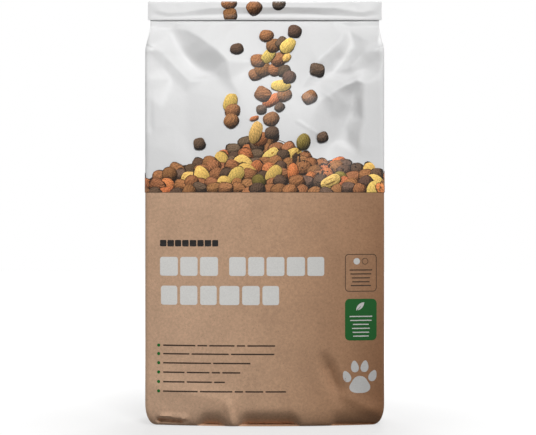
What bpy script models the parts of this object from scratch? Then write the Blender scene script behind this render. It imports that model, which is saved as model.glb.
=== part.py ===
"""Pinch-bottom feed bag, full and closed, standing on its base.

One gusseted tube of film-faced paper. Its foot is pressed flat and folded back under the base.
Its mouth is pressed flat, folded over to the front and glued. The bag can't be seen into, so it
is one solid. Metres, +Z up, front towards -Y, origin on the floor in the middle of the base.
"""

import math
from typing import NamedTuple

import bmesh
import bpy
from mathutils import Vector
from mathutils.geometry import delaunay_2d_cdt

# The tube, as it leaves the bag maker
FACE_WIDTH = 0.400  # front panel between its two long creases
GUSSET_DEPTH = 0.120  # side panel opened out
FLAT_THICK = 0.0020  # all four walls pressed flat together
GUSSET_SLIT = 0.0004  # air left between a gusset's two walls where it is pressed flat

# The mouth, folded over to the front
STANDING_HEIGHT = 0.718  # floor to the top fold
MOUTH_FOLD = 0.032  # height of the folded-over band
MOUTH_GAP = 0.0004  # air between the folded-over band and the wall behind it
BAND_SWELL = 0.0024  # how far the loose middle of the band stands off that wall at most
BAND_SWELL_DROP = 0.010  # how far below the top fold that is
BAND_SWELL_SPREAD = 0.008
BAND_LIP = 0.0020  # how far its free lower edge stands off
BAND_LIP_SPREAD = 0.004

# The shoulders, where the tube opens out below the mouth
NECK_STAND = 0.011  # how far below the band the tube stays flat
ROOF_DROP = 0.042  # from there to the shoulders, where the gussets are wide open
FILL_DROP = 0.220  # from the same level to where the panels stand full
FILL_EASE = 1.9  # above 1, the panels fill out early and stand nearly upright at the end
NECK_PULL = 0.004  # how far each long crease is drawn in just below the band
ROOF_EASE = 1.25  # above 1, the tube opens gently at the neck and turns sharply at the shoulders
SHOULDER_BLEND = 0.3  # over what share of the roof the creases bend into the upright body

# The filled body
BELLY = 0.017  # how far the front and back panels stand out past the creases
CREASE_ROUND = 0.009  # roundness of a long crease where the bag is full
FOLD_MARGIN = 0.016  # over what breadth beside a long crease the folds grow to their full height
FOLD_FOOT = 0.012  # over what height above the floor they do so
FOLD_OPENING = 0.008  # over what drop below the band they do so
FACE_GAP = 0.0006  # how near a fold may come to the bag's middle plane
CREASED_DROP = 0.320  # how far below the band the creased film reaches
CREASE_SOFTNESS = 0.004  # about how rounded its creases are
GUSSET_SWELL = 0.003  # how far each half of a gusset bows out
GUSSET_VALLEY = 0.008  # depth of the gusset's middle crease in the full body
SHOULDER_VALLEY = 0.016  # how much deeper it still is at the shoulders
VALLEY_FADE = 0.055  # over what drop that dies away

# The foot, turned in under the body
FOOT_HEIGHT = 0.036  # how far up the panels start to turn in
FOOT_TUCK = 0.028  # how far the panels turn in at the floor
END_TUCK = 0.018  # the same at the two ends
FOOT_VALLEY = 0.014  # how much deeper the gusset's crease is at the floor
FOOT_VALLEY_HEIGHT = 0.075
PINCH_FLAP = 0.042  # width of the pinched end, folded back under the base
PINCH_GAP = 0.0004  # air between the pinched end and the base above it

# Printing
PRINT_HEIGHT = 0.390  # floor to the top of the kraft-coloured print
WHITE_FILM = (0.86, 0.86, 0.86, 1)
KRAFT_PRINT = (0.42, 0.27, 0.17, 1)

# Mesh
PANEL_STEPS = 40  # along the front or back panel
ROUND_STEPS = 3  # round a long crease
GUSSET_STEPS = 3  # along half a gusset
FOOT_STEPS = 6
KRAFT_STEPS = 12
WHITE_STEPS = 30
ROOF_STEPS = 9
NECK_STEPS = 2
TURN_STEPS = 6
BAND_STEPS = 8
EDGE_STEPS = 12  # calm points along each edge of the creased film
PANEL_GRADING = 0.3  # above 0, the steps along a panel shorten towards the creases
KRAFT_GRADING = 1.4  # above 1, the rings crowd towards the foot
SAME_POINT = 1e-6  # corners of the creased film nearer than this are one

NECK_HEIGHT = STANDING_HEIGHT - MOUTH_FOLD
SHOULDER_HEIGHT = NECK_HEIGHT - NECK_STAND - ROOF_DROP
HALF_FACE = FACE_WIDTH / 2
HALF_GUSSET = GUSSET_DEPTH / 2
HALF_FLAT = FLAT_THICK / 2
HALF_SLIT = GUSSET_SLIT / 2
EAR_ROUND = (HALF_FLAT - HALF_SLIT) / 2


class Fold(NamedTuple):
    """A soft fold near the foot, between two points of a panel. Each point is how far in from a long crease
    it lies, negative from the left one, and its height."""

    start: tuple
    end: tuple
    breadth: float  # half the breadth of the fold
    rise: float  # how far it stands out, or goes in if negative


# The creasing of the full bag between its mouth and its belly, as ridges and valleys that the film hangs
# between. Each point is how far in from a long crease it lies, negative from the left one, how far below
# the band, and how far it stands out from the bag's middle plane. Both panels are seen from outside.
FRONT_CREASES = (
    ((-0.073, 0.019, 0.013), (-0.090, 0.032, 0.030), (-0.106, 0.045, 0.043), (-0.123, 0.059, 0.051),
     (-0.138, 0.075, 0.055), (-0.152, 0.099, 0.055)),
    ((-0.046, 0.019, 0.004), (-0.057, 0.040, 0.010), (-0.069, 0.061, 0.013), (-0.088, 0.081, 0.018),
     (-0.112, 0.095, 0.027), (-0.136, 0.109, 0.042)),
    ((-0.017, 0.052, 0.056), (-0.034, 0.061, 0.048), (-0.058, 0.084, 0.043), (-0.080, 0.109, 0.049)),
    ((-0.012, 0.064, 0.054), (-0.030, 0.083, 0.045), (-0.050, 0.102, 0.043), (-0.072, 0.126, 0.052)),
    ((-0.113, 0.006, 0.004), (-0.139, 0.021, 0.016)),
    ((0.132, 0.019, 0.005), (0.129, 0.047, 0.016), (0.124, 0.073, 0.030), (0.121, 0.095, 0.043)),
    ((0.080, 0.008, 0.006), (0.071, 0.034, 0.034), (0.088, 0.054, 0.046), (0.109, 0.075, 0.047)),
    ((0.062, 0.016, 0.003), (0.054, 0.041, 0.016), (0.075, 0.063, 0.022), (0.091, 0.086, 0.030),
     (0.111, 0.106, 0.046)),
    ((0.021, 0.016, 0.006), (0.035, 0.038, 0.038), (0.053, 0.073, 0.047)),
    ((0.016, 0.063, 0.049), (0.037, 0.079, 0.041), (0.058, 0.090, 0.040), (0.083, 0.104, 0.046)),
    ((0.010, 0.076, 0.060), (0.032, 0.095, 0.056), (0.026, 0.129, 0.064), (0.024, 0.167, 0.067),
     (0.029, 0.226, 0.068)),
    ((0.105, 0.142, 0.060), (0.083, 0.127, 0.060), (0.060, 0.114, 0.058), (0.043, 0.102, 0.055)),
    ((0.091, 0.167, 0.043), (0.064, 0.174, 0.029), (0.046, 0.155, 0.035), (0.041, 0.129, 0.048)),
    ((0.111, 0.201, 0.064), (0.083, 0.223, 0.056), (0.058, 0.228, 0.055)),
)
BACK_CREASES = (
    ((-0.082, 0.018, 0.013), (-0.102, 0.038, 0.033), (-0.122, 0.060, 0.048), (-0.142, 0.090, 0.053)),
    ((-0.040, 0.024, 0.008), (-0.058, 0.050, 0.017), (-0.082, 0.078, 0.021), (-0.114, 0.108, 0.041)),
    ((-0.014, 0.060, 0.055), (-0.040, 0.084, 0.045), (-0.070, 0.120, 0.051)),
    ((0.076, 0.014, 0.010), (0.092, 0.036, 0.032), (0.108, 0.064, 0.047), (0.126, 0.096, 0.052)),
    ((0.042, 0.022, 0.009), (0.050, 0.046, 0.020), (0.074, 0.074, 0.024), (0.100, 0.110, 0.044)),
    ((0.014, 0.066, 0.055), (0.036, 0.094, 0.047), (0.050, 0.134, 0.054)),
)

# Points of the same panels, as how far in and how far below the band, where the film has no crease
CALM_POINTS = (
    (0.200, 0.002), (-0.170, 0.002), (-0.090, 0.002), (-0.050, 0.002), (0.160, 0.002), (0.110, 0.002),
    (0.050, 0.002), (0.200, 0.036), (-0.170, 0.026), (0.160, 0.036), (0.200, 0.076), (0.155, 0.076),
    (0.200, 0.126), (0.140, 0.126), (-0.160, 0.141), (-0.105, 0.141), (-0.040, 0.141), (0.160, 0.186),
    (-0.180, 0.186), (-0.100, 0.186), (0.150, 0.236), (-0.150, 0.256), (-0.050, 0.236), (0.080, 0.291),
    (0.040, 0.291), (0.120, 0.276),
)

# The crumpled foot
FRONT_FOLDS = (
    Fold((0.050, 0.082), (0.100, 0.034), 0.014, -0.0045),
    Fold((0.078, 0.058), (0.120, 0.016), 0.013, 0.0030),
    Fold((-0.040, 0.062), (-0.120, 0.048), 0.016, 0.0035),
    Fold((-0.026, 0.016), (-0.072, 0.011), 0.006, -0.0040),
    Fold((-0.130, 0.022), (-0.190, 0.014), 0.013, -0.0040),
)
BACK_FOLDS = (
    Fold((-0.030, 0.070), (-0.110, 0.030), 0.014, -0.0040),
    Fold((0.060, 0.050), (0.140, 0.024), 0.014, -0.0035),
)


def smooth(share):
    """From 0 to 1 with level ends, as share goes from 0 to 1."""
    share = min(max(share, 0.0), 1.0)
    return share * share * (3 - 2 * share)


def from_middle(inward):
    """How far from the panel's middle a point lies that is this far in from a long crease."""
    return math.copysign(HALF_FACE, inward) - inward


def fold_relief(folds, x, z):
    """How far the folds move the panel out at x across and z up, fading past their sides and ends."""
    moved = 0.0
    for fold in folds:
        x0, x1 = from_middle(fold.start[0]), from_middle(fold.end[0])
        z0 = fold.start[1]
        dx, dz = x1 - x0, fold.end[1] - z0
        length = math.hypot(dx, dz)
        along = ((x - x0) * dx + (z - z0) * dz) / length
        across = ((x - x0) * dz - (z - z0) * dx) / length
        beyond = max(-along, along - length, 0.0)
        moved += fold.rise * math.exp(-(across**2 + beyond**2) / fold.breadth**2)
    return moved


def roof_share(z):
    """How far down the roof height z lies: 0 in the flat neck, 1 at the shoulders, then more."""
    return min(max((NECK_HEIGHT - NECK_STAND - z) / ROOF_DROP, 0.0), 2.0) ** ROOF_EASE


def opening_at(z):
    """How far the gussets are open at height z: 0 in the flat neck, 1 from below the shoulders down."""
    share = roof_share(z)
    near = min(max(0.5 + 0.5 * (1 - share) / SHOULDER_BLEND, 0.0), 1.0)
    return share * near + (1 - near) - SHOULDER_BLEND * near * (1 - near)


def section_at(z):
    """The tube's cross-section at height z: half its width, half its depth at the creases and in the
    middle of the panels, how far in the gusset's crease lies, and the roundness of the long creases."""
    opened = opening_at(z)
    filled = min(max((NECK_HEIGHT - NECK_STAND - z) / FILL_DROP, 0.0), 1.0)
    full = 1 - (1 - filled) ** FILL_EASE
    at_crease = HALF_FLAT + (HALF_GUSSET - HALF_FLAT) * opened
    in_middle = HALF_FLAT + (HALF_GUSSET + BELLY - HALF_FLAT) * full

    half_width = HALF_FACE - NECK_PULL * (1 - min(roof_share(z), 1.0))
    folded_in = math.sqrt(max(HALF_GUSSET**2 - at_crease**2, 0.0))
    below_shoulder = max(SHOULDER_HEIGHT - z, 0.0)
    valley = GUSSET_VALLEY + SHOULDER_VALLEY * math.exp(-((below_shoulder / VALLEY_FADE) ** 2))
    valley += FOOT_VALLEY * (1 - smooth(z / FOOT_VALLEY_HEIGHT))
    inset = max(folded_in, valley * opened)

    if z < FOOT_HEIGHT:
        tuck = 1 - math.sqrt(1 - (1 - z / FOOT_HEIGHT) ** 2)
        at_crease -= FOOT_TUCK * tuck
        in_middle -= FOOT_TUCK * tuck
        half_width -= END_TUCK * tuck
    roundness = EAR_ROUND + (CREASE_ROUND - EAR_ROUND) * smooth(opened)
    return half_width, at_crease, in_middle, inset, roundness


def panel_out(across, flat_end, at_crease, in_middle):
    """How far the smooth panel stands out at a distance from its middle."""
    return at_crease + (in_middle - at_crease) * (1 - (min(across, flat_end) / flat_end) ** 2)


def quarter_ring(half_width, at_crease, in_middle, inset, roundness, swell):
    """One quarter of a cross-section: half the front panel from its middle, round the long crease, and
    half the gusset in to its middle crease. Each point is (across, out, how freely it takes folds)."""
    flat_end = half_width - roundness
    points = []
    half_steps = PANEL_STEPS // 2
    for step in range(half_steps + 1):
        share = step / half_steps
        across = flat_end * share * (1 + PANEL_GRADING * (1 - share))
        loose = smooth((flat_end - across) / FOLD_MARGIN)
        points.append((across, panel_out(across, flat_end, at_crease, in_middle), loose))

    # The gusset's wall runs from the crease's round to the gusset's middle crease, touching the round
    centre = (flat_end, at_crease - roundness)
    tip = (half_width - inset, HALF_SLIT)
    to_tip = math.atan2(tip[1] - centre[1], tip[0] - centre[0])
    distance = math.hypot(tip[0] - centre[0], tip[1] - centre[1])
    leaves = to_tip + math.acos(min(roundness / distance, 1.0))
    leaves = (leaves + math.pi) % (2 * math.pi) - math.pi
    for step in range(1, ROUND_STEPS + 1):
        angle = math.pi / 2 + (leaves - math.pi / 2) * step / ROUND_STEPS
        points.append((centre[0] + roundness * math.cos(angle), centre[1] + roundness * math.sin(angle), 0.0))

    start = points[-1]
    run = (tip[0] - start[0], tip[1] - start[1])
    length = math.hypot(*run)
    for step in range(1, GUSSET_STEPS + 1):
        share = step / GUSSET_STEPS
        bowed = swell * 4 * share * (1 - share)
        across = start[0] + run[0] * share - run[1] / length * bowed
        points.append((across, start[1] + run[1] * share + run[0] / length * bowed, 0.0))
    return points


def whole_ring(quarter):
    """The four quarters of a cross-section as one ring, from the middle of the front panel round by +X."""
    front_right = quarter
    back_right = [(across, -out, loose) for across, out, loose in reversed(quarter)]
    back_left = [(-across, -out, loose) for across, out, loose in quarter[1:]]
    front_left = [(-across, out, loose) for across, out, loose in reversed(quarter[1:])]
    return front_right + back_right + back_left + front_left


def hung_between(creases):
    """Triangles that span the upper panel between its creases and its calm points. Each corner is (x, z,
    how far it stands out past the smooth panel)."""
    corners, rises, lines = [], [], []
    for crease in creases:
        lines += [(len(corners) + step, len(corners) + step + 1) for step in range(len(crease) - 1)]
        for inward, down, out in crease:
            x, z = from_middle(inward), NECK_HEIGHT - down
            half_width, at_crease, in_middle, _, roundness = section_at(z)
            corners.append((x, z))
            rises.append(out - panel_out(abs(x), half_width - roundness, at_crease, in_middle))
    corners += [(from_middle(inward), NECK_HEIGHT - down) for inward, down in CALM_POINTS]
    for step in range(EDGE_STEPS + 1):
        z = NECK_HEIGHT - CREASED_DROP * step / EDGE_STEPS
        corners += [(-HALF_FACE, z), (HALF_FACE, z)]
    for step in range(1, EDGE_STEPS):
        corners.append((HALF_FACE * (2 * step / EDGE_STEPS - 1), NECK_HEIGHT - CREASED_DROP))
    rises += [0.0] * (len(corners) - len(rises))
    flat = [Vector(corner) for corner in corners]
    spots, _, triangles, origins, _, _ = delaunay_2d_cdt(flat, lines, [], 0, SAME_POINT)
    placed = [(spot.x, spot.y, rises[origin[0]] if origin else 0.0) for spot, origin in zip(spots, origins)]
    return [tuple(placed[corner] for corner in triangle) for triangle in triangles]


def reaching(triangles, z):
    """Those of the triangles that come near the height z."""
    low, high = z - CREASE_SOFTNESS, z + CREASE_SOFTNESS
    return [
        triangle
        for triangle in triangles
        if min(corner[1] for corner in triangle) <= high and max(corner[1] for corner in triangle) >= low
    ]


def height_between(triangles, x, z):
    """How far the film stands out past the smooth panel at x across and z up."""
    for (ax, az, a), (bx, bz, b), (cx, cz, c) in triangles:
        area = (bx - ax) * (cz - az) - (cx - ax) * (bz - az)
        to_b = ((x - ax) * (cz - az) - (cx - ax) * (z - az)) / area
        to_c = ((bx - ax) * (z - az) - (x - ax) * (bz - az)) / area
        if to_b >= 0 and to_c >= 0 and to_b + to_c <= 1:
            return a + (b - a) * to_b + (c - a) * to_c
    return 0.0


def crease_relief(triangles, x, z):
    """The same with its creases rounded, as the mean of a few places round it."""
    moves = (-CREASE_SOFTNESS, 0.0, CREASE_SOFTNESS)
    heights = [height_between(triangles, x + move_x, z + move_z) for move_x in moves for move_z in moves]
    return sum(heights) / len(heights)


def body_ring(z, front_film, back_film):
    """The ring at height z of the standing body, as points in space."""
    half_width, at_crease, in_middle, inset, roundness = section_at(z)
    swell = GUSSET_SWELL * opening_at(z)
    quarter = quarter_ring(half_width, at_crease, in_middle, inset, roundness, swell)
    calm = smooth((NECK_HEIGHT - z) / FOLD_OPENING) * smooth(z / FOLD_FOOT)
    front_film, back_film = reaching(front_film, z), reaching(back_film, z)
    points = []
    for across, out, loose in whole_ring(quarter):
        if loose > 0:
            film, folds, seen_across = front_film, FRONT_FOLDS, across
            if out < 0:
                film, folds, seen_across = back_film, BACK_FOLDS, -across
            relief = crease_relief(film, seen_across, z) + fold_relief(folds, seen_across, z)
            least = min(abs(out), FACE_GAP)
            out = math.copysign(max(abs(out) + relief * loose * calm, least), out)
        points.append((across, -out, z))
    return points


def flat_ring(y, z, turned, swollen=0.0):
    """A ring of the tube pressed flat, its middle at y and z. turned is how far the tube has been
    folded over to the front: 0 upright, pi hanging down. swollen moves its loose middle out."""
    quarter = quarter_ring(HALF_FACE, HALF_FLAT, HALF_FLAT, HALF_GUSSET, EAR_ROUND, 0.0)
    points = []
    for across, out, _ in whole_ring(quarter):
        loose = smooth((HALF_FACE - abs(across)) / HALF_GUSSET)
        points.append((across, y - out * math.cos(turned) - swollen * loose, z - out * math.sin(turned)))
    return points


def band_swell(hang):
    """How far the middle of the folded-over band stands off at hang below the top fold: a swell, a
    hollow under it, and a lip at the free edge."""
    swell = BAND_SWELL * math.exp(-(((hang - BAND_SWELL_DROP) / BAND_SWELL_SPREAD) ** 2))
    lip = BAND_LIP * math.exp(-(((hang - MOUTH_FOLD) / BAND_LIP_SPREAD) ** 2))
    return swell + lip


def kraft_heights():
    """Where the rings of the kraft-printed body lie, closer together near the foot."""
    for step in range(FOOT_STEPS):
        yield FOOT_HEIGHT * (1 - math.cos(math.pi / 2 * step / FOOT_STEPS))
    for step in range(KRAFT_STEPS):
        yield FOOT_HEIGHT + (PRINT_HEIGHT - FOOT_HEIGHT) * (step / KRAFT_STEPS) ** KRAFT_GRADING


def film_heights():
    """Where the rings of the white film lie, up to the folded-over band."""
    for step in range(WHITE_STEPS):
        yield PRINT_HEIGHT + (SHOULDER_HEIGHT - PRINT_HEIGHT) * step / WHITE_STEPS
    for step in range(ROOF_STEPS + 1):
        yield SHOULDER_HEIGHT + (NECK_HEIGHT - SHOULDER_HEIGHT) * step / ROOF_STEPS


def mouth_rings():
    """The rings behind the band, over the top fold and down to the mouth's free edge."""
    turn = (FLAT_THICK + MOUTH_GAP) / 2  # from the pivot of the top fold to the middle of the tube
    pivot = STANDING_HEIGHT - HALF_FLAT - turn
    for step in range(1, NECK_STEPS + 1):
        yield flat_ring(0.0, NECK_HEIGHT + (pivot - NECK_HEIGHT) * step / NECK_STEPS, 0.0)
    for step in range(1, TURN_STEPS):
        angle = math.pi * step / TURN_STEPS
        yield flat_ring(turn * (math.cos(angle) - 1), pivot + turn * math.sin(angle), angle)
    for step in range(BAND_STEPS + 1):
        z = pivot + (NECK_HEIGHT - pivot) * step / BAND_STEPS
        yield flat_ring(-2 * turn, z, math.pi, band_swell(STANDING_HEIGHT - z))


def new_material(name, colour, roughness):
    material = bpy.data.materials.new(name)
    material.use_nodes = True
    shader = material.node_tree.nodes["Principled BSDF"]
    shader.inputs["Base Color"].default_value = colour
    shader.inputs["Roughness"].default_value = roughness
    shader.inputs["Metallic"].default_value = 0.0
    return material


def split_along_folds(corners):
    """The two triangles of a quad of the skin, cut the way the folds run: down towards the panel's middle."""
    lower_here, lower_after = corners[:2]
    if abs(lower_after.co.x) > abs(lower_here.co.x):
        return (0, 1, 2), (0, 2, 3)
    return (0, 1, 3), (1, 2, 3)


def new_bag():
    """The whole tube as one closed skin, kraft print below, white film above."""
    mesh = bpy.data.meshes.new("feed_bag")
    bag = bpy.data.objects.new("feed_bag", mesh)
    bpy.context.scene.collection.objects.link(bag)
    mesh.materials.append(new_material("white_film", WHITE_FILM, 0.38))
    mesh.materials.append(new_material("kraft_print", KRAFT_PRINT, 0.62))

    skin = bmesh.new()
    film = hung_between(FRONT_CREASES), hung_between(BACK_CREASES)
    kraft = [body_ring(z, *film) for z in kraft_heights()]
    white = [body_ring(z, *film) for z in film_heights()] + list(mouth_rings())
    rings = [[skin.verts.new(point) for point in ring] for ring in kraft + white]
    for number, (lower, upper) in enumerate(zip(rings, rings[1:])):
        for here in range(len(lower)):
            after = (here + 1) % len(lower)
            corners = lower[here], lower[after], upper[after], upper[here]
            for corner_numbers in split_along_folds(corners):
                face = skin.faces.new([corners[corner_number] for corner_number in corner_numbers])
                face.material_index = 1 if number < len(kraft) else 0
    base = skin.faces.new(list(reversed(rings[0])))
    base.material_index = 1
    skin.faces.new(rings[-1])
    skin.to_mesh(mesh)
    skin.free()
    mesh.shade_smooth()
    mesh.set_sharp_from_angle(angle=math.radians(50))
    return bag


def cut_pinch_gap(bag):
    """Leaves the pinched end lying under the rear of the base. It hangs on the fold that runs along
    the middle, and an L-shaped gap parts it from the base above it and behind it."""
    reach = HALF_FACE + CREASE_ROUND
    profile = (
        (PINCH_FLAP, -FLAT_THICK),
        (PINCH_FLAP + PINCH_GAP, -FLAT_THICK),
        (PINCH_FLAP + PINCH_GAP, FLAT_THICK + PINCH_GAP),
        (0.0, FLAT_THICK + PINCH_GAP),
        (0.0, FLAT_THICK),
        (PINCH_FLAP, FLAT_THICK),
    )
    mesh = bpy.data.meshes.new("pinch_gap_cutter")
    cutter = bpy.data.objects.new("pinch_gap_cutter", mesh)
    bpy.context.scene.collection.objects.link(cutter)
    shape = bmesh.new()
    outline = shape.faces.new([shape.verts.new((-reach, y, z)) for y, z in profile])
    swept = bmesh.ops.extrude_face_region(shape, geom=[outline])
    moved = [item for item in swept["geom"] if isinstance(item, bmesh.types.BMVert)]
    bmesh.ops.translate(shape, verts=moved, vec=(2 * reach, 0, 0))
    bmesh.ops.recalc_face_normals(shape, faces=shape.faces)
    shape.to_mesh(mesh)
    shape.free()
    cutter.hide_render = True
    cutter.display_type = "WIRE"
    gap = bag.modifiers.new("pinch_gap", "BOOLEAN")
    gap.operation = "DIFFERENCE"
    gap.object = cutter


def main():
    for leftover in list(bpy.data.objects):
        bpy.data.objects.remove(leftover)
    bag = new_bag()
    cut_pinch_gap(bag)


main()
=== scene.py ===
"""Pinch-bottom feed bag: the looks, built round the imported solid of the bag.

Metres, +Z up, front towards -Y.
"""

import math
import random

import bmesh
import bpy
import mathutils
import numpy as np
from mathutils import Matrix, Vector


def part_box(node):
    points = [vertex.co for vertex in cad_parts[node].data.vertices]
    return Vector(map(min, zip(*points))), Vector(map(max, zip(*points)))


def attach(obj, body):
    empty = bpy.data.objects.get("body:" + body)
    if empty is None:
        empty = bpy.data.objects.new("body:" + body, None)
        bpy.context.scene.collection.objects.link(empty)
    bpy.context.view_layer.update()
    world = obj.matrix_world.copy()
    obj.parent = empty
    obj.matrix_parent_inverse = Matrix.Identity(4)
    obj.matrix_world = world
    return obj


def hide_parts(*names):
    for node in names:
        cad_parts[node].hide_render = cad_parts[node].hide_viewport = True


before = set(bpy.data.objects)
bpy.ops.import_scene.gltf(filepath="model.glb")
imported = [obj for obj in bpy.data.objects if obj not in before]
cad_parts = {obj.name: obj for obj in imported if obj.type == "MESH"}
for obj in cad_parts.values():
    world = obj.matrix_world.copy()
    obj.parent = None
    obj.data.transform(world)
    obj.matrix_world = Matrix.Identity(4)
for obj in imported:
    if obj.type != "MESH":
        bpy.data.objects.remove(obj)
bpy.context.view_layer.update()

# Studio
# A level camera in front of the bag, a pale floor that keeps its shadow, and soft lights: a strong one in
# front, high up and a little to the right, a weak one at each side, and one high up behind the bag.
CAMERA_PLACE = (0.0055, -2.2, 0.348)
CAMERA_LENS = 86.2
CAMERA_SENSOR = 36
camera_data = bpy.data.cameras.new("camera")
camera_data.lens = CAMERA_LENS
camera_data.sensor_width = CAMERA_SENSOR
camera = bpy.data.objects.new("camera", camera_data)
camera.location = CAMERA_PLACE
camera.rotation_euler = (math.radians(90), 0, 0)
bpy.context.scene.collection.objects.link(camera)
bpy.context.scene.camera = camera


def soft_light(name, place, aim, size, watts):
    light_data = bpy.data.lights.new(name, "AREA")
    light_data.size = size
    light_data.energy = watts
    light = bpy.data.objects.new(name, light_data)
    light.location = place
    direction = np.array(aim) - np.array(place)
    light.rotation_euler = (
        math.atan2(math.hypot(direction[0], direction[1]), -direction[2]),
        0,
        math.atan2(direction[1], direction[0]) - math.pi / 2,
    )
    bpy.context.scene.collection.objects.link(light)


soft_light("key_light", place=(0.5, -2.2, 2.2), aim=(0, 0, 0.36), size=0.8, watts=60)
soft_light("fill_light", place=(2.3, -0.3, 0.7), aim=(0, 0, 0.35), size=1.2, watts=9)
soft_light("side_light", place=(-2.3, -0.4, 0.7), aim=(0, 0, 0.35), size=1.2, watts=7)
soft_light("back_light", place=(0.1, 1.2, 1.9), aim=(0, 0, 0), size=1.0, watts=30)


def seen_rays(nodes, links):
    """1 for rays from the camera and those seen in a reflection or through something, otherwise 0."""
    path = nodes.new("ShaderNodeLightPath")
    total = path.outputs["Is Camera Ray"]
    for name in ("Is Glossy Ray", "Is Transmission Ray"):
        higher = nodes.new("ShaderNodeMath")
        higher.operation = "MAXIMUM"
        links.new(total, higher.inputs[0])
        links.new(path.outputs[name], higher.inputs[1])
        total = higher.outputs["Value"]
    return total


bpy.context.scene.view_settings.view_transform = "Standard"
WHITE_GLOW = 1.0  # strength that is seen as white
ROOM_GLOW = 0.09  # strength with which the room lights the bag
world = bpy.data.worlds.new("studio")
bpy.context.scene.world = world
world.use_nodes = True
nodes, links = world.node_tree.nodes, world.node_tree.links
strength = nodes.new("ShaderNodeMapRange")
strength.inputs["To Min"].default_value = ROOM_GLOW
strength.inputs["To Max"].default_value = WHITE_GLOW
links.new(seen_rays(nodes, links), strength.inputs["Value"])
links.new(strength.outputs["Result"], nodes["Background"].inputs["Strength"])
nodes["Background"].inputs["Color"].default_value = (1, 1, 1, 1)

FLOOR_SIZE = 12
FLOOR_GREY = 0.22
FLOOR_ROUGHNESS = 0.9
NEAR_GLOW = 0.62  # the floor's glow round the bag, lower there so that the real shadow shows, which also paints a faint shade round the bag
NEAR, FAR = 0.25, 0.9  # over what distance from the bag the floor gets white
bpy.ops.object.select_all(action="DESELECT")
bpy.ops.mesh.primitive_plane_add(size=FLOOR_SIZE, location=(0, 0, 0))
floor = bpy.context.object
floor.name = "floor"
floor_paint = bpy.data.materials.new("floor_paint")
floor_paint.use_nodes = True
nodes, links = floor_paint.node_tree.nodes, floor_paint.node_tree.links
shader = nodes["Principled BSDF"]
shader.inputs["Base Color"].default_value = (FLOOR_GREY, FLOOR_GREY, FLOOR_GREY, 1)
shader.inputs["Roughness"].default_value = FLOOR_ROUGHNESS
shader.inputs["Emission Color"].default_value = (1, 1, 1, 1)
distance = nodes.new("ShaderNodeVectorMath")
distance.operation = "LENGTH"
links.new(nodes.new("ShaderNodeTexCoord").outputs["Object"], distance.inputs[0])
# Painted shade: the floor's glow is lower near the bag and rises to white further off
level = nodes.new("ShaderNodeMapRange")
level.inputs["From Min"].default_value = NEAR
level.inputs["From Max"].default_value = FAR
level.inputs["To Min"].default_value = NEAR_GLOW
level.inputs["To Max"].default_value = WHITE_GLOW
links.new(distance.outputs["Value"], level.inputs["Value"])
glow = nodes.new("ShaderNodeMath")
glow.operation = "MULTIPLY"
links.new(level.outputs["Result"], glow.inputs[1])
links.new(seen_rays(nodes, links), glow.inputs[0])
links.new(glow.outputs["Value"], shader.inputs["Emission Strength"])
floor.data.materials.append(floor_paint)

# The bag
# One gusseted tube of film-faced paper, filled and closed: its foot is turned under, its mouth pressed
# flat, folded over to the front and glued. It is lofted from its cross-sections, with its folds.
_, bag_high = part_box("feed_bag")
STANDING_HEIGHT = bag_high.z
HALF_FACE = 0.200
HALF_GUSSET = 0.060
HALF_FLAT = 0.0010  # half of all four walls pressed flat together
HALF_SLIT = 0.0002  # half the air between a gusset's two walls there
MOUTH_FOLD = 0.032  # height of the folded-over band
MOUTH_GAP = 0.0004  # air behind it
NECK_STAND = 0.011  # how far below the band the tube stays flat
ROOF_DROP = 0.042  # from there to the shoulders
FILL_DROP = 0.231  # from the band to where the panels stand full
FILL_EASE = 1.9
ROOF_EASE = 1.25
NECK_PULL = 0.004  # how far each long crease is drawn in just below the band
BELLY = 0.017  # how far the front and back panels stand out past the creases
CREASE_ROUND = 0.009  # roundness of a long crease where the bag is full
EAR_ROUND = (HALF_FLAT - HALF_SLIT) / 2  # the same where it is flat
GUSSET_SWELL = 0.003  # how far each half of a gusset bows out
GUSSET_VALLEY = 0.008  # depth of the gusset's middle crease in the full body
SHOULDER_VALLEY = 0.016  # how much deeper it is at the shoulders
VALLEY_FADE = 0.055  # over what drop that dies away
FOOT_HEIGHT = 0.036  # how far up the panels start to turn in
FOOT_TUCK = 0.016  # how far they turn in at the floor
END_TUCK = 0.016  # the same at the two ends
FOOT_VALLEY = 0.014  # how much deeper the gusset's crease is at the floor
FOOT_VALLEY_HEIGHT = 0.075
PRINT_HEIGHT = 0.390  # floor to the top of the kraft-coloured print
NECK_HEIGHT = STANDING_HEIGHT - MOUTH_FOLD
SHOULDER_HEIGHT = NECK_HEIGHT - NECK_STAND - ROOF_DROP
SHOULDER_BLEND = 0.3  # over what share of the roof the creases bend into the upright body
FOLD_MARGIN = 0.016  # over what breadth beside a long crease the folds grow to their full height
FOLD_FOOT = 0.002  # over what height above the floor they do so
FOLD_OPENING = 0.008  # over what drop below the band they do so
FOLD_TIP = 0.06  # roundness of a fold's ridge
FOLD_POWER = 1.3  # above 1, a fold's flanks are hollow
FACE_GAP = 0.0006  # how near a fold may come to the bag's middle plane

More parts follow.
